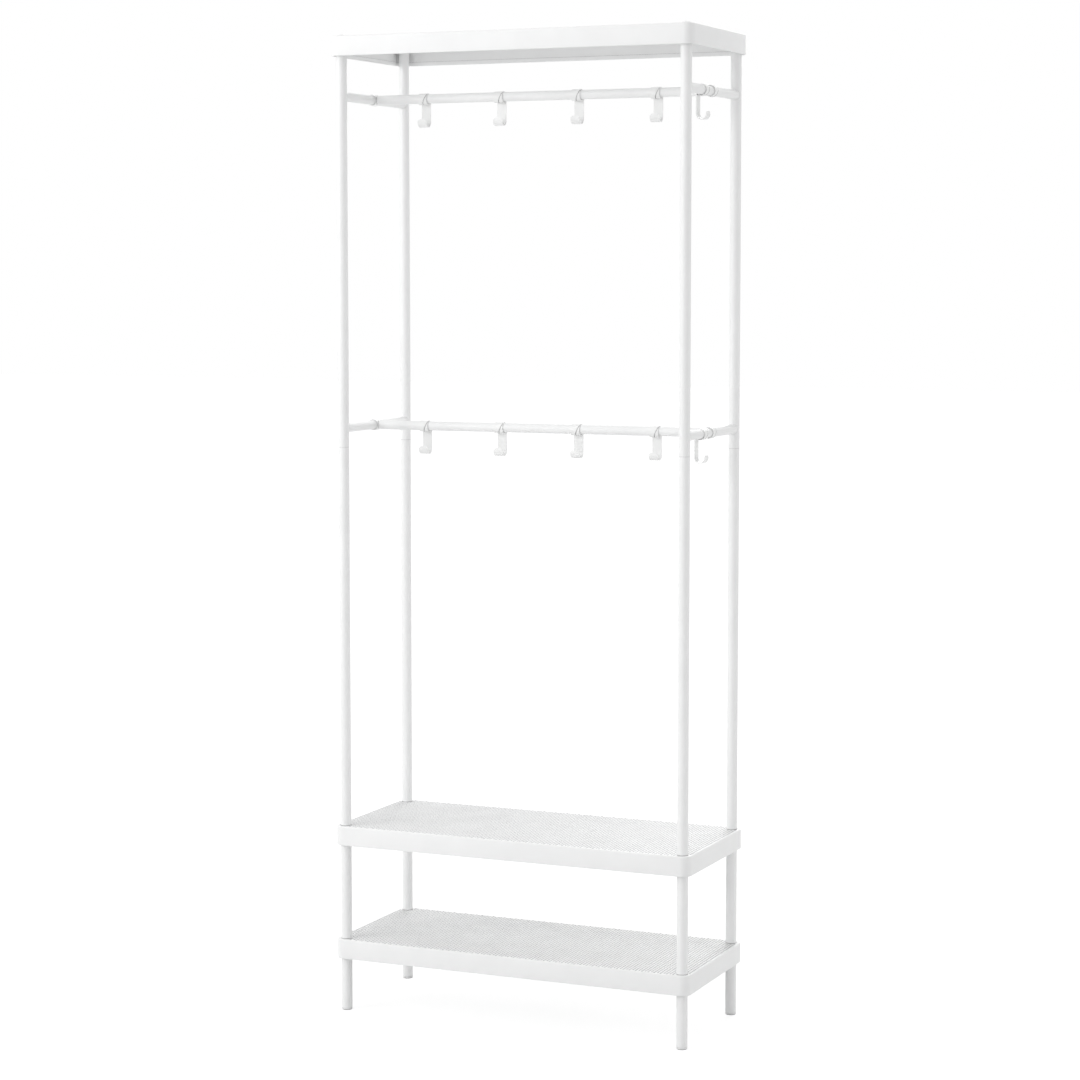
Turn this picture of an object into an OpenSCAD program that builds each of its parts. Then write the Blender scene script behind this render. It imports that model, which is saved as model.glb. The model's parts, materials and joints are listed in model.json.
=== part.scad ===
// Open coat rack: four sectional tube posts, three pressed sheet shelves, two levels of rails and sliding hooks.
// Millimetres. +X is the width, +Y the depth towards the back, +Z up. The origin is on the floor, under the middle.

/* [Overall] */
// Width over the shelves
overall_w = 780; // [760:5:900]
// Depth over the shelves
overall_d = 320; // [300:5:400]
// Height of the top shelf's deck
top_deck_z = 1996; // [1960:1:2100]

/* [Shelves] */
// Height of the bottom shelf's deck
bottom_deck_z = 150; // [120:1:180]
// Height of the middle shelf's deck
middle_deck_z = 387; // [340:1:450]
// Height of the folded skirt round a shelf
skirt_h = 40; // [30:1:50]
// Thickness of the shelf sheet
sheet_t = 1; // [0.8:0.1:1.5]
// Outer radius of a shelf's corners, concentric with the posts
corner_r = 19; // [17:0.5:22]
// Height of the hem folded up inside the skirt's lower edge
hem_h = 8; // [5:1:12]
// Number of openings along each deck. They stand for its fine round holes, with the same open share
deck_columns = 12; // [8:1:12]
// Number of openings across each deck
deck_rows = 5; // [3:1:5]
// Width of the square openings
deck_opening = 33; // [28:1:40]
// Plain border along the front and back of a deck, outside the openings' grid
deck_border = 10; // [6:1:20]

/* [Posts] */
// Outer diameter of the posts
post_d = 22; // [20:0.5:24]
// Wall of the post tube
post_wall = 1.2; // [1:0.1:1.6]
// Chamfer on the outer edge of each post section
post_chamfer = 0.4; // [0.2:0.1:0.6]
// Drop from the lower rails' axis to the seam between the middle and upper post sections
seam_drop = 39; // [20:1:80]

/* [Rails] */
// Outer diameter of the side rails and crossbars
rail_d = 19; // [17:0.5:20]
// Wall of the rail tube
rail_wall = 1.2; // [1:0.1:1.6]
// Drop from the top shelf's deck to the upper rails' axis
upper_rail_drop = 120; // [100:1:150]
// Height of the lower rails' axis
lower_rail_z = 1207; // [1200:1:1240]

/* [Hooks] */
// Number of hooks on each crossbar
hooks_per_bar = 4; // [2:1:4]
// Length at each end of a crossbar that is outside its hooks' shares, from the side rail's axis
hook_margin = 31; // [31:1:80]
// Place of the side hook on its rail, in front of the crossbar
side_hook_reach = 48; // [40:1:80]
// Width of the hook's strip and ring
hook_w = 20; // [16:1:24]
// Radial clearance of the rings round the rails
ring_clear = 0.6; // [0.3:0.1:0.8]
// Wall of the rings
ring_wall = 1.4; // [1.2:0.1:2]
// Thickness of the hook's strip
strip_t = 1.8; // [1.6:0.1:3]
// Drop from the ring's axis to the bottom of the hook
hook_drop = 57.5; // [50:0.5:70]
// Depth of the hook, from its back to its tip
hook_depth = 23; // [20:0.5:28]
// Height of the hook's tip above its bottom
tip_rise = 16.5; // [16:0.5:22]
// Radius of the corners of the hook's tip
tip_corner_r = 7; // [3:0.5:7]
// Gap of the slit in each ring
slit_gap = 1.2; // [0.8:0.1:2]
// Slope of the slit on the front of the ring, in degrees
slit_slope = 64; // [56:1:68]
// Drop of the slit's upper end below the top of the ring
slit_drop = 1.2; // [0.8:0.1:3]

/* [Fixings] */
// Diameter of the threaded studs and cap screws
stud_d = 8; // [6:1:10]
// Length of stud inside each tube nut
stud_grip = 14; // [10:1:20]
// Height of the threaded nuts pressed into the tube ends
nut_h = 16; // [12:1:24]
// Height of a foot glide's flange under the leg
glide_h = 4; // [3:0.5:6]
// Radius of the glide's lower edge
glide_edge_r = 2; // [1:0.5:2.5]
// Height of a top cap's dome
cap_h = 4; // [3:0.5:5]
// Length of each plug inside a tube
plug_l = 25; // [15:1:40]
// Wall of the hollow plugs
plug_wall = 2.5; // [2:0.1:3.5]
// Diameter of the peg that keeps a tee from sliding along its side rail
peg_d = 6; // [4:0.5:8]

/* [Hidden] */
// Radial clearance of every piece that is pushed into or slides on another
fit_clear = 0.05;
// Gap left where a coped tube end meets another tube
cope_gap = 0.1;
// Gap between a crossbar's square end and the tee's ring
bar_gap = 0.4;
// Radial clearance of the studs in the shelves' holes
hole_clear = 0.5;
// Reach of the peg past the side rail's wall
peg_reach = 1.5;
// Overrun of the cuts
overrun = 1;
$fn = 96;

post_r = post_d / 2;
post_bore_r = post_r - post_wall;
rail_r = rail_d / 2;
rail_bore_r = rail_r - rail_wall;
stud_r = stud_d / 2;
peg_r = peg_d / 2;
ring_bore_r = rail_r + ring_clear;
ring_r = ring_bore_r + ring_wall;
// Post axes, from the middle of the rack
post_x = overall_w / 2 - corner_r;
post_y = overall_d / 2 - corner_r;
upper_rail_z = top_deck_z - upper_rail_drop;
seam_z = lower_rail_z - seam_drop;
// Each hook's share of its crossbar
hook_spacing = 2 * (post_x - hook_margin) / hooks_per_bar;
// Centre and outer radius of the hook's round bottom, across the rail
bend_r = hook_depth / 2;
bend_y = ring_r - bend_r;
bend_z = bend_r - hook_drop;
// The rings hang on the rails, so their axes lie lower
ring_sag = ring_clear - fit_clear;
slit_l = 2 * (ring_r / sin(slit_slope) + overrun);
// Place where the slanted slit passes the height of the ring's axis
slit_x = hook_w / 2 - (ring_r - slit_drop) / tan(slit_slope);

CORNERS = [
    ["front_left", -1, -1],
    ["front_right", 1, -1],
    ["back_left", -1, 1],
    ["back_right", 1, 1],
];
LEVELS = [["upper", upper_rail_z], ["lower", lower_rail_z]];
SIDES = [["left", -1], ["right", 1]];
SHELVES = [["bottom_shelf", bottom_deck_z], ["middle_shelf", middle_deck_z], ["top_shelf", top_deck_z]];
// Each post section: its name, and the heights of its lower and upper ends
SECTIONS = [
    ["leg", glide_h, bottom_deck_z - sheet_t],
    ["lower_post", bottom_deck_z, middle_deck_z - sheet_t],
    ["middle_post", middle_deck_z, seam_z],
    ["upper_post", seam_z, top_deck_z - sheet_t],
];
// Each set of tube nuts: its name, and the heights of their lower ends
NUTS = [
    ["leg_nuts", [bottom_deck_z - sheet_t - nut_h]],
    ["lower_post_nuts", [bottom_deck_z, middle_deck_z - sheet_t - nut_h]],
    ["middle_post_nuts", [middle_deck_z]],
    ["upper_post_nuts", [top_deck_z - sheet_t - nut_h]],
];
STUDS = [["bottom_shelf_studs", bottom_deck_z], ["middle_shelf_studs", middle_deck_z]];
// Each hook: its name, its place, and its turn about +Z
HOOKS = concat(
    [for (level = LEVELS) for (i = [1:hooks_per_bar])
        [str(level[0], "_hook_", i), [(i - (hooks_per_bar + 1) / 2) * hook_spacing, 0, level[1] - ring_sag], 0]],
    [for (level = LEVELS) [str(level[0], "_side_hook"), [post_x, -side_hook_reach, level[1] - ring_sag], 90]]
);

// Places its children on a corner's post axis
module at_corner(c) {
    translate([c[1] * post_x, c[2] * post_y, 0]) children();
}

// Places its children on all four post axes
module at_each_corner() {
    for (c = CORNERS) at_corner(c) children();
}

// Rounded rectangle, centred, with inset taken off every side
module shelf_outline(inset) {
    r = corner_r - inset;
    square([2 * post_x, 2 * (post_y + r)], center = true);
    square([2 * (post_x + r), 2 * post_y], center = true);
    for (c = CORNERS) translate([c[1] * post_x, c[2] * post_y]) circle(r);
}

// One section of a post, a tube with chamfered ends
module post_section(low_z, high_z) {
    color("white")
        rotate_extrude()
            polygon([
                [post_bore_r, low_z],
                [post_r - post_chamfer, low_z],
                [post_r, low_z + post_chamfer],
                [post_r, high_z - post_chamfer],
                [post_r - post_chamfer, high_z],
                [post_bore_r, high_z],
            ]);
}

// Plastic foot, with a flange the size of the post and a hollow plug inside it
module foot_glide() {
    edge_x = post_r - glide_edge_r;
    plug_r = post_bore_r - fit_clear;
    color("gainsboro")
        rotate_extrude()
            difference() {
                union() {
                    square([edge_x, glide_h]);
                    translate([edge_x, glide_edge_r]) circle(glide_edge_r);
                    translate([edge_x, glide_edge_r]) square([glide_edge_r, glide_h - glide_edge_r]);
                    square([plug_r, glide_h + plug_l]);
                }
                translate([0, glide_h]) square([plug_r - plug_wall, plug_l + overrun]);
                translate([-post_r, 0]) square([post_r, glide_h]);
            }
}

// Domed screw that clamps the top shelf onto the posts
module top_cap() {
    dome_r = (post_r * post_r + cap_h * cap_h) / (2 * cap_h);
    color("white")
        translate([0, 0, top_deck_z]) {
            rotate_extrude()
                intersection() {
                    translate([0, cap_h - dome_r]) circle(dome_r);
                    square([post_r, cap_h]);
                }
            translate([0, 0, -sheet_t - stud_grip]) cylinder(r = stud_r, h = sheet_t + stud_grip);
        }
}

// Grid of square openings through a deck
module deck_openings() {
    pitch_x = 2 * (post_x - post_r) / deck_columns;
    pitch_y = (overall_d - 2 * deck_border) / deck_rows;
    for (i = [1:deck_columns]) for (j = [1:deck_rows])
        translate([(i - (deck_columns + 1) / 2) * pitch_x, (j - (deck_rows + 1) / 2) * pitch_y, 0])
            square(deck_opening, center = true);
}

// Pressed sheet tray, open below: deck, skirt and the hem folded up inside it
module shelf(deck_z) {
    color("white")
        translate([0, 0, deck_z - skirt_h])
            difference() {
                linear_extrude(skirt_h) shelf_outline(0);
                translate([0, 0, hem_h]) linear_extrude(skirt_h - hem_h - sheet_t) shelf_outline(sheet_t);
                translate([0, 0, -overrun]) linear_extrude(hem_h + 2 * overrun) shelf_outline(2 * sheet_t);
                at_each_corner() cylinder(r = stud_r + hole_clear, h = skirt_h + overrun);
                translate([0, 0, skirt_h - sheet_t - overrun])
                    linear_extrude(sheet_t + 2 * overrun) deck_openings();
            }
}

// Threaded nut pressed into the end of a post section
module tube_nut(low_z) {
    color("silver")
        rotate_extrude()
            translate([stud_r + fit_clear, low_z])
                square([post_bore_r - 2 * fit_clear - stud_r, nut_h]);
}

// Double ended stud that ties two post sections together through a shelf
module shelf_stud(deck_z) {
    color("silver")
        translate([0, 0, deck_z - sheet_t - stud_grip])
            cylinder(r = stud_r, h = sheet_t + 2 * stud_grip);
}

// Hollow plug that lines up the middle and upper post sections
module seam_plug() {
    plug_r = post_bore_r - fit_clear;
    color("gainsboro")
        rotate_extrude()
            translate([plug_r - plug_wall, seam_z - plug_l]) square([plug_wall, 2 * plug_l]);
}

// Tube along +Y between the front and back posts, coped to them, with a hole for the tee's peg
module side_rail(side, rail_z) {
    color("white")
        difference() {
            translate([side * post_x, 0, rail_z])
                rotate([90, 0, 0])
                    difference() {
                        cylinder(r = rail_r, h = 2 * post_y, center = true);
                        cylinder(r = rail_bore_r, h = 2 * (post_y + overrun), center = true);
                    }
            translate([0, 0, rail_z - rail_d])
                at_each_corner() cylinder(r = post_r + cope_gap, h = 2 * rail_d);
            translate([side * (post_x - rail_r), 0, rail_z])
                rotate([0, 90, 0]) cylinder(r = peg_r + cope_gap, h = rail_r, center = true);
        }
}

// Tube along +X between the two tees, cut square
module crossbar(rail_z) {
    bar_l = 2 * (post_x - ring_r - bar_gap);
    color("white")
        translate([0, 0, rail_z])
            rotate([0, 90, 0])
                difference() {
                    cylinder(r = rail_r, h = bar_l, center = true);
                    cylinder(r = rail_bore_r, h = bar_l + 2 * overrun, center = true);
                }
}

// Slit that parts a ring whose axis is X: slanted down its front, then along its bottom to the left
module ring_slit() {
    bottom_x = slit_x - ring_r / tan(slit_slope);
    translate([slit_x, 0, 0])
        rotate([0, -slit_slope, 0])
            translate([-slit_l / 2, -ring_r - overrun, -slit_gap / 2])
                cube([slit_l, ring_r + overrun, slit_gap]);
    translate([-hook_w, -slit_gap, -ring_r - overrun])
        cube([hook_w + bottom_x, slit_gap, ring_wall + 2 * overrun]);
}

// Split ring round the side rail, with a plug into the crossbar and a peg into the rail, at the right end
module tee_right() {
    plug_r = rail_bore_r - fit_clear;
    union() {
        difference() {
            union() {
                rotate([90, 0, 0]) cylinder(r = ring_r, h = hook_w, center = true);
                translate([-ring_r - plug_l, 0, 0])
                    rotate([0, 90, 0])
                        difference() {
                            cylinder(r = plug_r, h = plug_l + ring_wall);
                            translate([0, 0, -overrun]) cylinder(r = plug_r - plug_wall, h = plug_l + overrun);
                        }
            }
            rotate([90, 0, 0]) cylinder(r = ring_bore_r, h = 2 * hook_w, center = true);
            rotate([0, 0, 90]) ring_slit();
        }
        translate([-ring_r + fit_clear, 0, 0])
            rotate([0, 90, 0]) cylinder(r = peg_r, h = ring_wall + ring_clear + rail_wall + peg_reach);
    }
}

module tee(side, rail_z) {
    color("whitesmoke")
        translate([side * post_x, 0, rail_z])
            rotate([0, 0, side > 0 ? 0 : 180]) tee_right();
}

// Outline of a hook across its rail: the first axis runs to the back and the second one up
module hook_outline() {
    circle(ring_r);
    translate([ring_r - strip_t, bend_z]) square([strip_t, -bend_z]);
    translate([bend_y, bend_z])
        difference() {
            circle(bend_r);
            circle(bend_r - strip_t);
            translate([-bend_r - overrun, 0]) square([2 * (bend_r + overrun), bend_r + overrun]);
        }
    translate([bend_y - bend_r, bend_z]) square([strip_t, tip_rise - bend_r]);
}

// What rounds the two corners of the hook's tip
module tip_corners() {
    tip_z = tip_rise - hook_drop;
    for (side = SIDES)
        translate([side[1] * (hook_w / 2 - tip_corner_r), bend_y, tip_z - tip_corner_r])
            rotate([90, 0, 0])
                difference() {
                    translate([side[1] > 0 ? 0 : -tip_corner_r - overrun, 0, 0])
                        cube([tip_corner_r + overrun, tip_corner_r + overrun, bend_r + overrun]);
                    translate([0, 0, -overrun]) cylinder(r = tip_corner_r, h = bend_r + 3 * overrun);
                }
}

// Hook on a rail along X, opening towards -Y
module hook() {
    color("white")
        difference() {
            translate([-hook_w / 2, 0, 0]) rotate([90, 0, 90]) linear_extrude(hook_w) hook_outline();
            rotate([0, 90, 0]) cylinder(r = ring_bore_r, h = 2 * hook_w, center = true);
            ring_slit();
            tip_corners();
        }
}

for (section = SECTIONS) for (c = CORNERS)
    at_corner(c) post_section(section[1], section[2]);
for (c = CORNERS)
    at_corner(c) foot_glide();
for (c = CORNERS)
    at_corner(c) top_cap();
for (s = SHELVES)
    shelf(s[1]);
for (level = LEVELS) for (side = SIDES)
    side_rail(side[1], level[1]);
for (level = LEVELS)
    crossbar(level[1]);
for (level = LEVELS) for (side = SIDES)
    tee(side[1], level[1]);
for (nuts = NUTS)
    for (low_z = nuts[1]) at_each_corner() tube_nut(low_z);
for (studs = STUDS)
    at_each_corner() shelf_stud(studs[1]);
at_each_corner() seam_plug();  // seam_plugs
for (h = HOOKS)
    translate(h[1]) rotate([0, 0, h[2]]) hook();
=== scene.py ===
"""Looks of the white open coat rack: powder-coated tube and sheet, moulded hooks, a pale studio."""
import json
import math

import bmesh
import bpy
from mathutils import Matrix, Vector


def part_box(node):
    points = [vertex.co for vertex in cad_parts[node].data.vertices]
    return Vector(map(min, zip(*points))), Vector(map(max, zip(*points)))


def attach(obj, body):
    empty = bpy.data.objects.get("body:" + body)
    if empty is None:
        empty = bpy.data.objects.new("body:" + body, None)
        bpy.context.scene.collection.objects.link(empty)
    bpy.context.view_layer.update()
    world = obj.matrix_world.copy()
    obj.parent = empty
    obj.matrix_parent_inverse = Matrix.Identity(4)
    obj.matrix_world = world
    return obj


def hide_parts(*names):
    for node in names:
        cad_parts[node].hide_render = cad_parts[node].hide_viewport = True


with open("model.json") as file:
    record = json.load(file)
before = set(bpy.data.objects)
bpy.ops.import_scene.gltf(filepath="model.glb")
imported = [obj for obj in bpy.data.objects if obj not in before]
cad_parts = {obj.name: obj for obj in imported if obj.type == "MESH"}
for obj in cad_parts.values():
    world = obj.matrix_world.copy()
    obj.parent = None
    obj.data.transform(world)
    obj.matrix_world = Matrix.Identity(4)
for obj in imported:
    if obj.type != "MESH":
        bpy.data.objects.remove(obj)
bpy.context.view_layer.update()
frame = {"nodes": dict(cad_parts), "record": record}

MM = 0.001
RACK = "rack"


# Sizes read from the frame


def middle(node):
    low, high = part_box(node)
    return (low + high) / 2


def half_size(node):
    low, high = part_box(node)
    return (high - low) / 2


POST_R = half_size("leg_front_right").x
POST_X = middle("leg_front_right").x
POST_Y = -middle("leg_front_right").y
SHELF_X = half_size("top_shelf").x
SHELF_Y = half_size("top_shelf").y
CORNER_R = SHELF_X - POST_X
SKIRT_H = 2 * half_size("top_shelf").z
RAIL_R = half_size("upper_right_rail").x

# Sheet of the shelves
SHEET_T = 1.0 * MM
BEND_R = 2.2 * MM
HEM_H = 8.0 * MM
STUD_HOLE_R = 4.5 * MM
STUD_HOLE_SIDES = 24
CORNER_STEPS = 14
BEND_STEPS = 5
SHARP_DEGREES = 40

# Perforation: columns of holes, each column half a pitch off its neighbours
COLUMN_PITCH = 6.6 * MM
HOLE_PITCH = COLUMN_PITCH * 2 / math.sqrt(3)
HOLE_R = 2.2 * MM
HOLE_SIDES = 7
RIM = 3.4 * MM
POST_RIM = 1.5 * MM

# Corners of the cell round a hole, in half pitches, counterclockwise from +X
CELL_CORNERS = [(1, 0), (1, 1), (-1, 1), (-1, 0), (-1, -1), (1, -1)]

# Weld beads between the side rails and the posts: a ripple is a share of the radius, some steps long
WELD_R = 1.2 * MM
WELD_RIPPLE = 0.08
WELD_STEPS = 96
WELD_RIPPLE_STEPS = 4
WELD_SIDES = 8
WELD_SHARP_DEGREES = 80

# Bake map of a shelf, in shares: the margin, a deck face's strip, the gap between the two faces' strips
# as a share of one, the start of the skirt's strip, and how far in a hole's wall reaches
MAP_MARGIN = 0.01
MAP_DECK = 0.40
MAP_DECK_GAP = 0.05
MAP_SKIRT_START = 0.85
MAP_HOLE_SHARE = 0.45

# Noise in the materials: its usual range, its detail, and its scales in cycles a metre
NOISE_RANGE = (0.3, 0.7)
PATCH_DETAIL = 2
GRAIN_DETAIL = 3
COLOUR_PATCHES = 14
GLOSS_PATCHES = 60
COAT_GRAIN = 900
PLASTIC_GRAIN = 1500
ZINC_GRAIN = 2500
GRAIN_STRENGTH = 0.5

# Painted shade in gaps: rays that look for a wall, and the open shares of them between which the
# painted shade fades
GAP_SHADE_RAYS = 8
GAP_SHADE_OPEN_SHARES = (0.45, 0.85)

# Share of the painted contact shadow's height up to which it is full
CONTACT_SHADOW_FULL_SHARE = 0.6

# Floor: its shade for light, and for the camera a darker shade and a glow that grows with distance
FLOOR_SIZE = 60.0
FLOOR_DROP = 0.05 * MM
FLOOR_ALBEDO = 0.8
FLOOR_SHADE = 0.3
FLOOR_GLOW = (0.78, 0.9)
FLOOR_GLOW_REACH = 4.0

# Light from all round, and square lamps: place, aim, side in metres, power in watts
AMBIENT = 0.67
LAMPS = {
    "key": ((-3.1, -3.4, 2.4), (0, 0, 0.9), 2.6, 80),
    "top": ((-0.8, -2.8, 7.5), (0, 0, 1.0), 3.0, 55),
    "back": ((-0.4, 4.9, 3.4), (0, 0, 0.6), 3.0, 90),
    "fill": ((5.0, 1.5, 1.2), (0, 0, 0.8), 2.0, 24),
}

# Camera, in the photograph's square frame: degrees, a lens in mm, and a shift as a share of the frame
CAMERA_PLACE = (2.27, -5.15, 1.52)
CAMERA_TURN = 23.75
CAMERA_DIP = 5.04
CAMERA_LENS = 92.48
CAMERA_SHIFT = -0.02


# Nodes of materials and of the world


def clear_nodes(owner):
    owner.use_nodes = True
    owner.node_tree.nodes.clear()


def add_node(owner, kind, inputs=None):
    """A new node, with values for inputs that are named."""
    node = owner.node_tree.nodes.new(kind)
    for name, value in (inputs or {}).items():
        node.inputs[name].default_value = value
    return node


def connect(owner, source, target):
    owner.node_tree.links.new(source, target)


def opaque(colour):
    return (*colour, 1)


def grey(shade):
    return (shade, shade, shade)


def map_range(owner, value, found, wanted=(0, 1)):
    """Maps a value from the found range to the wanted one, and stops at its ends."""
    node = add_node(owner, "ShaderNodeMapRange", {
        "From Min": found[0], "From Max": found[1], "To Min": wanted[0], "To Max": wanted[1]})
    connect(owner, value, node.inputs["Value"])
    return node.outputs["Result"]


# Materials


def new_material(name):
    """A material with a principled shader. Returns both."""
    material = bpy.data.materials.new(name)
    clear_nodes(material)
    output = add_node(material, "ShaderNodeOutputMaterial")
    shader = add_node(material, "ShaderNodeBsdfPrincipled")
    connect(material, shader.outputs["BSDF"], output.inputs["Surface"])
    return material, shader


def noise(material, scale, detail=PATCH_DETAIL):
    """Noise in the object's own metres; scale is in cycles a metre."""
    place = add_node(material, "ShaderNodeTexCoord")
    texture = add_node(material, "ShaderNodeTexNoise", {"Scale": scale, "Detail": detail})
    connect(material, place.outputs["Object"], texture.inputs["Vector"])
    return texture.outputs["Fac"]


def tint(material, factor, dark, light):
    """Colour between two shades, mixed by noise."""
    ramp = add_node(material, "ShaderNodeValToRGB")
    for stop, position, shade in zip(ramp.color_ramp.elements, NOISE_RANGE, (dark, light)):
        stop.position = position
        stop.color = opaque(shade)
    connect(material, factor, ramp.inputs["Fac"])
    return ramp.outputs["Color"]


def add_grain(material, shader, scale, depth):
    """Fine bumps in the surface."""
    bump = add_node(material, "ShaderNodeBump", {"Strength": GRAIN_STRENGTH, "Distance": depth})
    connect(material, noise(material, scale, detail=GRAIN_DETAIL), bump.inputs["Height"])
    connect(material, bump.outputs["Normal"], shader.inputs["Normal"])


def finish_material(name, dark, light, rough, grain, grain_depth, metallic=0.0):
    """Uneven colour over a hand's width, uneven gloss over a finger's, and a fine grain."""
    material, shader = new_material(name)
    colour = tint(material, noise(material, COLOUR_PATCHES), dark, light)
    gloss = map_range(material, noise(material, GLOSS_PATCHES), NOISE_RANGE, rough)
    connect(material, colour, shader.inputs["Base Color"])
    connect(material, gloss, shader.inputs["Roughness"])
    add_grain(material, shader, grain, grain_depth)
    shader.inputs["Metallic"].default_value = metallic
    return material


def darken(material, unshaded_share, dark):
    """Mixes a painted dark shade into the base colour, full where the given share is 0."""
    link = next(link for link in material.node_tree.links if link.to_socket.name == "Base Color")
    colour, target = link.from_socket, link.to_socket
    mix = add_node(material, "ShaderNodeMixRGB", {"Color1": opaque(dark)})
    connect(material, unshaded_share, mix.inputs["Fac"])
    connect(material, colour, mix.inputs["Color2"])
    connect(material, mix.outputs["Color"], target)


def paint_gap_shade(material, reach, dark, own_walls_only):
    """Paints shade into narrow gaps and corners, where walls stand closer than the reach."""
    gap = add_node(material, "ShaderNodeAmbientOcclusion", {"Distance": reach})
    gap.only_local = own_walls_only
    gap.samples = GAP_SHADE_RAYS
    darken(material, map_range(material, gap.outputs["AO"], GAP_SHADE_OPEN_SHARES), dark)


def paint_foot_contact_shadow(material, height, dark):
    """Paints a contact shadow on the foot, from the floor up to the height."""
    place = add_node(material, "ShaderNodeTexCoord")
    split = add_node(material, "ShaderNodeSeparateXYZ")
    connect(material, place.outputs["Object"], split.inputs["Vector"])
    fade = (CONTACT_SHADOW_FULL_SHARE * height, height)
    darken(material, map_range(material, split.outputs["Z"], fade), dark)


def plain_coat(name):
    """White powder coat."""
    return finish_material(
        name, dark=(0.875, 0.878, 0.878), light=(0.90, 0.903, 0.903), rough=(0.40, 0.50),
        grain=COAT_GRAIN, grain_depth=0.06 * MM)


def powder_coat():
    """White powder coat with painted shade in its gaps and corners, for the posts, caps and shelves."""
    material = plain_coat("powder_coat")
    # Painted shade where walls of this or other pieces stand close, such as posts on the decks
    paint_gap_shade(material, reach=2.5 * MM, dark=grey(0.25), own_walls_only=False)
    return material


def hole_wall_shade():
    """Grey painted shade on the walls of the punched holes, standing in for the shade inside them."""
    return finish_material(
        "hole_wall_shade", dark=(0.39, 0.395, 0.40), light=(0.47, 0.475, 0.48), rough=(0.45, 0.55),
        grain=COAT_GRAIN, grain_depth=0.06 * MM)


def hook_plastic():
    """White moulded plastic with painted shade in its slits and corners, for the hooks and tees."""
    material = finish_material(
        "hook_plastic", dark=(0.88, 0.883, 0.88), light=(0.90, 0.903, 0.90), rough=(0.32, 0.42),
        grain=PLASTIC_GRAIN, grain_depth=0.02 * MM)
    # Painted shade in the piece's own slits and corners
    paint_gap_shade(material, reach=3.0 * MM, dark=grey(0.10), own_walls_only=True)
    return material


def glide_plastic():
    """White plastic of the feet, with a painted contact shadow at the bottom."""
    material = finish_material(
        "glide_plastic", dark=(0.84, 0.843, 0.84), light=(0.87, 0.873, 0.87), rough=(0.45, 0.55),
        grain=PLASTIC_GRAIN, grain_depth=0.03 * MM)
    # Painted contact shadow at the bottom of the foot
    paint_foot_contact_shadow(material, height=1.6 * MM, dark=grey(0.10))
    return material


def plug_plastic():
    """Grey plastic of the plugs inside the posts."""
    return finish_material(
        "plug_plastic", dark=(0.72, 0.73, 0.73), light=(0.76, 0.77, 0.77), rough=(0.5, 0.6),
        grain=PLASTIC_GRAIN, grain_depth=0.03 * MM)


def zinc():
    """Bright zinc plate on the nuts and studs."""
    return finish_material(
        "zinc", dark=(0.60, 0.61, 0.63), light=(0.70, 0.71, 0.73), rough=(0.25, 0.4),
        grain=ZINC_GRAIN, grain_depth=0.01 * MM, metallic=1.0)


POWDER_COAT = powder_coat()
RAIL_COAT = plain_coat("rail_coat")
HOLE_WALL_SHADE = hole_wall_shade()
GLIDE_PLASTIC = glide_plastic()
BY_SLOT = {
    "white_powder_coat": POWDER_COAT,
    "white_plastic": hook_plastic(),
    "grey_plastic": plug_plastic(),
    "zinc_steel": zinc(),
}


def node_material(node, slot):
    """The slot's material, but for the rails, which hooks slide along, and the feet with their painted
    contact shadow.
    """
    if node.endswith("_rail") or node.endswith("_crossbar"):
        return RAIL_COAT
    if node.startswith("foot_glide_"):
        return GLIDE_PLASTIC
    return BY_SLOT[slot]


def dress_nodes():
    """Gives every CAD node its material."""
    for part in frame["record"]["subparts"]:
        mesh = frame["nodes"][part["node"]].data
        mesh.materials.clear()
        mesh.materials.append(node_material(part["node"], part["material_slot"]))


# Pieces


def new_piece(name, mesh, slot, body, *nodes):
    """Puts a mesh in the scene as a piece that rides on a body and stands for CAD nodes, if any."""
    piece = bpy.data.objects.new(name, mesh)
    bpy.context.scene.collection.objects.link(piece)
    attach(piece, body)
    if nodes:
        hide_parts(*nodes)
    return piece


def mesh_from(name, built, sharp_degrees=SHARP_DEGREES):
    """A mesh from bmesh, smooth but for edges sharper than the angle."""
    bmesh.ops.recalc_face_normals(built, faces=built.faces)
    mesh = bpy.data.meshes.new(name)
    built.to_mesh(mesh)
    built.free()
    mesh.shade_smooth()
    mesh.set_sharp_from_angle(angle=math.radians(sharp_degrees))
    return mesh


def arc(centre, radius, start, end, steps):
    """Points of an arc, with the angles in degrees."""
    points = []
    for step in range(steps + 1):
        angle = math.radians(start + (end - start) * step / steps)
        points.append((centre[0] + radius * math.cos(angle), centre[1] + radius * math.sin(angle)))
    return points


def ring_points(x, y, radius, sides):
    """Points of a full circle, counterclockwise from +X."""
    return arc((x, y), radius, 0, 360, sides)[:-1]


# Shelves


def outline(inset):
    """Points of a shelf's rounded outline, counterclockwise, with inset taken off every side."""
    points = []
    for quarter, (sx, sy) in enumerate(((1, 1), (-1, 1), (-1, -1), (1, -1))):
        centre = (sx * POST_X, sy * POST_Y)
        points += arc(centre, CORNER_R - inset, 90 * quarter, 90 * (quarter + 1), CORNER_STEPS)
    return points


def tray_profile():
    """Section of bend, skirt and hem, from the deck's top round to its underside: inset and height."""
    bend = (BEND_R, -BEND_R)
    fold = (SHEET_T, SHEET_T - SKIRT_H)
    points = arc(bend, BEND_R, 90, 180, BEND_STEPS)
    points += arc(fold, SHEET_T, 180, 360, 2 * BEND_STEPS)
    points += [(2 * SHEET_T, HEM_H - SKIRT_H), (SHEET_T, HEM_H - SKIRT_H)]
    points += arc(bend, BEND_R - SHEET_T, 180, 90, BEND_STEPS)
    return points


def map_place(u, v):
    """A place on the bake map inside its margin, from shares of its width and height."""
    return (MAP_MARGIN + (1 - 2 * MAP_MARGIN) * u, MAP_MARGIN + (1 - 2 * MAP_MARGIN) * v)


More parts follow.
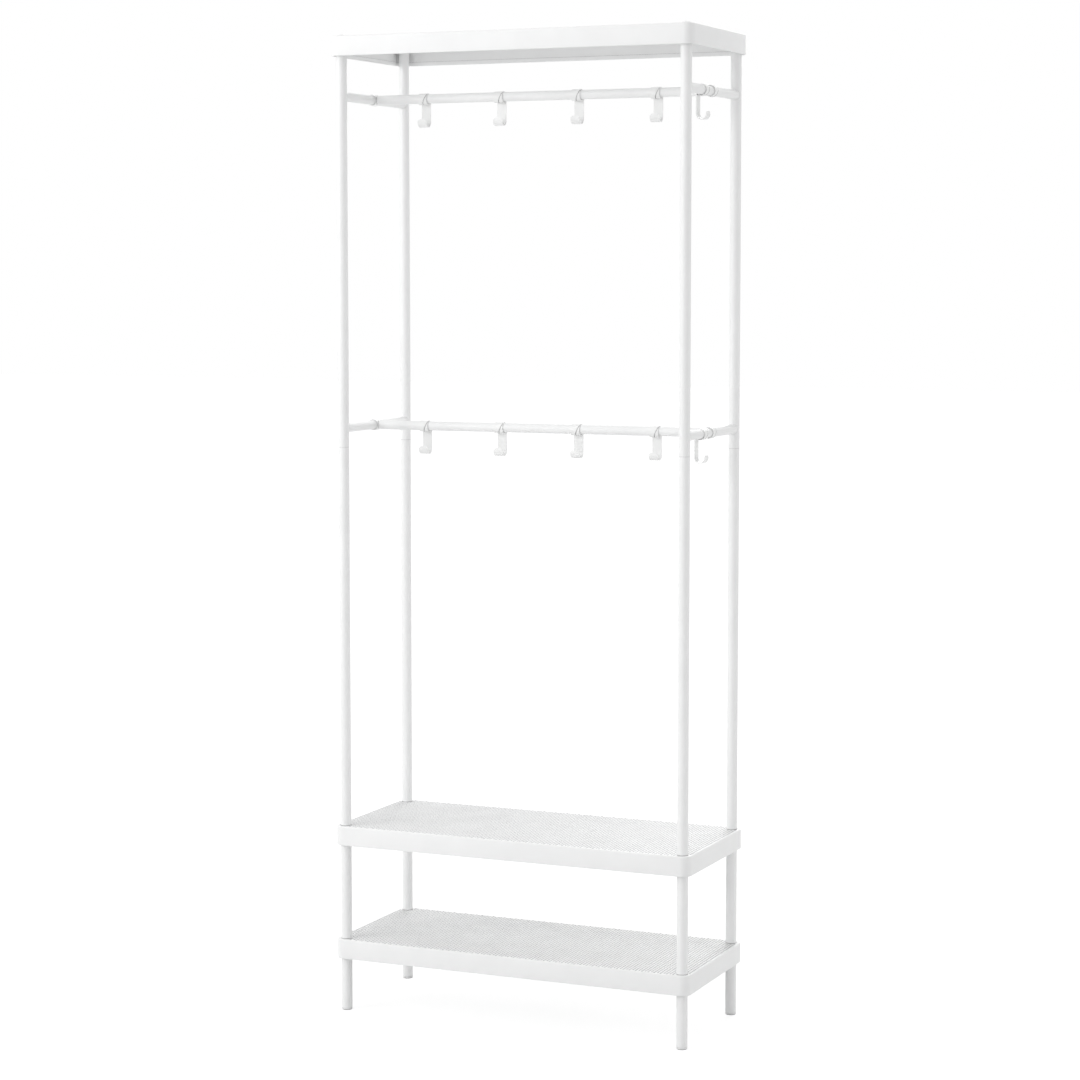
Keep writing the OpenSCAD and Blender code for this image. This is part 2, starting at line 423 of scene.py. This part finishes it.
def deck_place(x, y, low=False):
    """A deck point's place on the bake map, where the underside's strip lies above the top face's."""
    u, v = x / (2 * SHELF_X) + 0.5, y / (2 * SHELF_Y) + 0.5
    if low:
        v += 1 + MAP_DECK_GAP
    return map_place(u, MAP_DECK * v)


def add_face(built, uv, corners, places):
    """A face with its places on the bake map."""
    face = built.faces.new(corners)
    for loop, place in zip(face.loops, places):
        loop[uv].uv = place
    return face


def add_tray(built, uv):
    """Sweeps the tray's section round the outline. Returns the deck's upper and lower edge."""
    rings = [[built.verts.new((x, y, z)) for x, y in outline(inset)] for inset, z in tray_profile()]
    count = len(rings[0])
    strip = (1 - MAP_SKIRT_START) / len(rings)
    for k in range(len(rings) - 1):
        low = MAP_SKIRT_START + strip * k
        high = low + strip
        for i in range(count):
            j = (i + 1) % count
            shares = ((i, low), (i + 1, low), (i + 1, high), (i, high))
            places = [map_place(step / count, v) for step, v in shares]
            add_face(built, uv, (rings[k][i], rings[k][j], rings[k + 1][j], rings[k + 1][i]), places)
    return rings[0], rings[-1]


def hole_places():
    """The perforation's holes as (column, row), with rows in half pitches."""
    columns = int(SHELF_X / COLUMN_PITCH)
    rows = int(2 * SHELF_Y / HOLE_PITCH)
    for column in range(-columns, columns + 1):
        for row in range(-rows, rows + 1):
            x, y = abs(column * COLUMN_PITCH), abs(row * HOLE_PITCH / 2)
            in_pattern = (column + row) % 2 == 0
            inside = x < SHELF_X - RIM - HOLE_R and y < SHELF_Y - RIM - HOLE_R
            off_post = math.hypot(x - POST_X, y - POST_Y) > POST_R + POST_RIM + HOLE_R
            # The rounded corner outside a post is plain sheet
            in_corner = x > POST_X and y > POST_Y
            if in_pattern and inside and off_post and not in_corner:
                yield column, row


def cell_triangles():
    """Triangles between a cell and its hole: numbers of the cell's corners, then of the hole's."""
    turn = 2 * math.pi
    cell = [math.atan2(y * HOLE_PITCH, x * COLUMN_PITCH) % turn for x, y in CELL_CORNERS] + [turn]
    hole = [turn * k / HOLE_SIDES for k in range(HOLE_SIDES)] + [turn]
    corners = len(CELL_CORNERS)
    triangles, i, j = [], 0, 0
    while i < corners or j < HOLE_SIDES:
        outer, inner = i % corners, corners + j % HOLE_SIDES
        if j == HOLE_SIDES or (i < corners and cell[i + 1] <= hole[j + 1]):
            i += 1
            third = i % corners
        else:
            j += 1
            third = corners + j % HOLE_SIDES
        triangles.append((outer, third, inner))
    return triangles


def add_ring(built, x, y, z, radius, sides):
    """Vertices of a full circle."""
    return [built.verts.new((px, py, z)) for px, py in ring_points(x, y, radius, sides)]


def sides_of(ring):
    """A ring's sides, each as a set of two vertices."""
    return {frozenset(pair) for pair in zip(ring, ring[1:] + ring[:1])}


def add_perforation(built, uv, z, low):
    """The cells and their holes, at the height z. Returns the holes and the sides round all cells."""
    triangles = cell_triangles()
    corners, holes, border = {}, [], set()
    for column, row in hole_places():
        cell = []
        for i, j in CELL_CORNERS:
            key = (2 * column + i, row + j)
            if key not in corners:
                corners[key] = built.verts.new((key[0] * COLUMN_PITCH / 2, key[1] * HOLE_PITCH / 2, z))
            cell.append(corners[key])
        hole = add_ring(built, column * COLUMN_PITCH, row * HOLE_PITCH / 2, z, HOLE_R, HOLE_SIDES)
        both = cell + hole
        for numbers in triangles:
            found = [both[number] for number in numbers]
            add_face(built, uv, found, [deck_place(v.co.x, v.co.y, low) for v in found])
        # A side that two cells share drops out again
        border ^= sides_of(cell)
        holes.append(hole)
    return holes, border


def add_deck_face(built, uv, edge, z, low):
    """One face of the perforated deck, inside the tray's edge. Returns its holes' rings."""
    holes, border = add_perforation(built, uv, z, low)
    for sx in (-1, 1):
        for sy in (-1, 1):
            hole = add_ring(built, sx * POST_X, sy * POST_Y, z, STUD_HOLE_R, STUD_HOLE_SIDES)
            holes.append(hole)
            border |= sides_of(hole)
    fill_rim(built, uv, border | sides_of(edge), low)
    return holes


def flat_place(vertex):
    return vertex.co.x, vertex.co.y


def fill_rim(built, uv, border, low):
    """Fills the plain rim between the perforation, the stud holes and the tray's edge."""
    edges = []
    for pair in border:
        ends = sorted(pair, key=flat_place)
        edges.append(built.edges.get(ends) or built.edges.new(ends))
    edges.sort(key=lambda edge: [flat_place(vertex) for vertex in edge.verts])
    filled = bmesh.ops.triangle_fill(built, use_beauty=True, edges=edges, normal=(0, 0, 1))
    for face in filled["geom"]:
        if isinstance(face, bmesh.types.BMFace):
            for loop in face.loops:
                loop[uv].uv = deck_place(loop.vert.co.x, loop.vert.co.y, low)


def add_hole_walls(built, uv, top_holes, low_holes):
    """Walls of the holes, which lie inside their holes on the bake map."""
    shares = (1, 1, MAP_HOLE_SHARE, MAP_HOLE_SHARE)
    for top, low in zip(top_holes, low_holes):
        centre = sum((v.co for v in top), Vector()) / len(top)
        for i in range(len(top)):
            j = (i + 1) % len(top)
            found = (top[i], top[j], low[j], low[i])
            spots = [centre + (v.co - centre) * share for v, share in zip(found, shares)]
            wall = add_face(built, uv, found, [deck_place(spot.x, spot.y) for spot in spots])
            # Second material: grey painted shade on the holes' walls
            wall.material_index = 1


def shelf_mesh():
    """Pressed sheet tray with its deck's top at z = 0: perforated deck, bend, skirt and folded hem."""
    built = bmesh.new()
    uv = built.loops.layers.uv.new("OFBake")
    top_edge, low_edge = add_tray(built, uv)
    top_holes = add_deck_face(built, uv, top_edge, 0, low=False)
    low_holes = add_deck_face(built, uv, low_edge, -SHEET_T, low=True)
    add_hole_walls(built, uv, top_holes, low_holes)
    return mesh_from("shelf", built)


def add_shelves():
    """A sheet for each shelf, in the coat and, on the holes' walls, a grey painted shade."""
    mesh = shelf_mesh()
    for node in ("bottom_shelf", "middle_shelf", "top_shelf"):
        copy = mesh.copy()
        copy.transform(Matrix.Translation((0, 0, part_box(node)[1].z)))
        copy.materials.append(POWDER_COAT)
        copy.materials.append(HOLE_WALL_SHADE)
        new_piece(node + "_sheet", copy, "white_powder_coat", RACK, node)


# Welds


def weld_mesh(name, post, side):
    """Rippled bead where a side rail meets a post; side is -1 or 1, from the post to the rail."""
    built = bmesh.new()
    rings = []
    for step in range(WELD_STEPS):
        turn = 2 * math.pi * step / WELD_STEPS
        x, z = RAIL_R * math.cos(turn), RAIL_R * math.sin(turn)
        crease = Vector((post.x + x, post.y + side * math.sqrt(POST_R ** 2 - x ** 2), post.z + z))
        outward = Vector((math.cos(turn), 0, math.sin(turn)))
        along = Vector((0, side, 0))
        radius = WELD_R * (1 + WELD_RIPPLE * math.cos(turn * WELD_STEPS / WELD_RIPPLE_STEPS))
        section = ring_points(0, 0, radius, WELD_SIDES)
        rings.append([built.verts.new(crease + u * outward + v * along) for u, v in section])
    for k, ring in enumerate(rings):
        following = rings[(k + 1) % WELD_STEPS]
        for i in range(WELD_SIDES):
            j = (i + 1) % WELD_SIDES
            built.faces.new((ring[i], ring[j], following[j], following[i]))
    return mesh_from(name, built, WELD_SHARP_DEGREES)


def add_welds():
    """A bead at each end of the four side rails."""
    for level in ("upper", "lower"):
        for side_name in ("left", "right"):
            rail = middle(level + "_" + side_name + "_rail")
            for end_name, end in (("front", -1), ("back", 1)):
                post = Vector((rail.x, end * POST_Y, rail.z))
                name = "_".join((level, side_name, end_name, "weld"))
                mesh = weld_mesh(name, post, -end)
                mesh.materials.append(RAIL_COAT)
                new_piece(name, mesh, "white_powder_coat", RACK)


# Studio


def seen_white(owner):
    """1 for what the camera, a reflection or glass sees, and 0 for light on surfaces."""
    path = add_node(owner, "ShaderNodeLightPath")
    found = path.outputs["Is Camera Ray"]
    for name in ("Is Glossy Ray", "Is Transmission Ray"):
        either = add_node(owner, "ShaderNodeMath")
        either.operation = "MAXIMUM"
        connect(owner, found, either.inputs[0])
        connect(owner, path.outputs[name], either.inputs[1])
        found = either.outputs[0]
    return found


def finish_tree(owner, output_kind, lit, seen):
    """Ends a node tree in two shaders: one for light on surfaces, and one for what is seen."""
    mix = add_node(owner, "ShaderNodeMixShader")
    connect(owner, seen_white(owner), mix.inputs["Fac"])
    connect(owner, lit.outputs[0], mix.inputs[1])
    connect(owner, seen.outputs[0], mix.inputs[2])
    output = add_node(owner, output_kind)
    connect(owner, mix.outputs[0], output.inputs["Surface"])


def add_world():
    """Even light from all round before a white background."""
    world = bpy.data.worlds.new("studio")
    clear_nodes(world)
    white = opaque(grey(1))
    light = add_node(world, "ShaderNodeBackground", {"Color": white, "Strength": AMBIENT})
    background = add_node(world, "ShaderNodeBackground", {"Color": white})
    finish_tree(world, "ShaderNodeOutputWorld", light, background)
    bpy.context.scene.world = world


def floor_material():
    """Pale floor: plain for light, and mostly white for the camera, so that only the shadow shows."""
    material = bpy.data.materials.new("floor")
    clear_nodes(material)
    plain = add_node(material, "ShaderNodeBsdfDiffuse", {"Color": opaque(grey(FLOOR_ALBEDO))})
    shade = add_node(material, "ShaderNodeBsdfDiffuse", {"Color": opaque(grey(FLOOR_SHADE))})
    glow = add_node(material, "ShaderNodeEmission")
    place = add_node(material, "ShaderNodeTexCoord")
    distance = add_node(material, "ShaderNodeVectorMath")
    distance.operation = "LENGTH"
    connect(material, place.outputs["Object"], distance.inputs[0])
    strength = map_range(material, distance.outputs["Value"], (0, FLOOR_GLOW_REACH), FLOOR_GLOW)
    connect(material, strength, glow.inputs["Strength"])
    both = add_node(material, "ShaderNodeAddShader")
    connect(material, shade.outputs[0], both.inputs[0])
    connect(material, glow.outputs[0], both.inputs[1])
    finish_tree(material, "ShaderNodeOutputMaterial", plain, both)
    return material


def add_floor():
    """Square floor just under the feet."""
    half = FLOOR_SIZE / 2
    mesh = bpy.data.meshes.new("floor")
    corners = [(-half, -half, 0), (half, -half, 0), (half, half, 0), (-half, half, 0)]
    mesh.from_pydata(corners, [], [(0, 1, 2, 3)])
    mesh.materials.append(floor_material())
    floor = bpy.data.objects.new("floor", mesh)
    floor.location.z = -FLOOR_DROP
    bpy.context.scene.collection.objects.link(floor)


def add_lamp(name, place, aim, side, power):
    """Square soft lamp at a place, turned towards a point."""
    data = bpy.data.lights.new(name, "AREA")
    data.size = side
    data.energy = power
    lamp = bpy.data.objects.new(name, data)
    lamp.location = place
    lamp.visible_camera = False
    lamp.rotation_euler = (Vector(aim) - Vector(place)).to_track_quat("-Z", "Y").to_euler()
    bpy.context.scene.collection.objects.link(lamp)


def add_camera():
    """Camera of the photograph's view."""
    data = bpy.data.cameras.new("camera")
    data.lens = CAMERA_LENS
    data.shift_y = CAMERA_SHIFT
    camera = bpy.data.objects.new("camera", data)
    camera.location = CAMERA_PLACE
    camera.rotation_euler = (math.radians(90 - CAMERA_DIP), 0, math.radians(CAMERA_TURN))
    bpy.context.scene.collection.objects.link(camera)
    bpy.context.scene.camera = camera


dress_nodes()
add_shelves()
add_welds()
add_world()
add_floor()
for lamp_name, lamp_values in LAMPS.items():
    add_lamp(lamp_name, *lamp_values)
add_camera()
bpy.context.scene.view_settings.view_transform = "Standard"
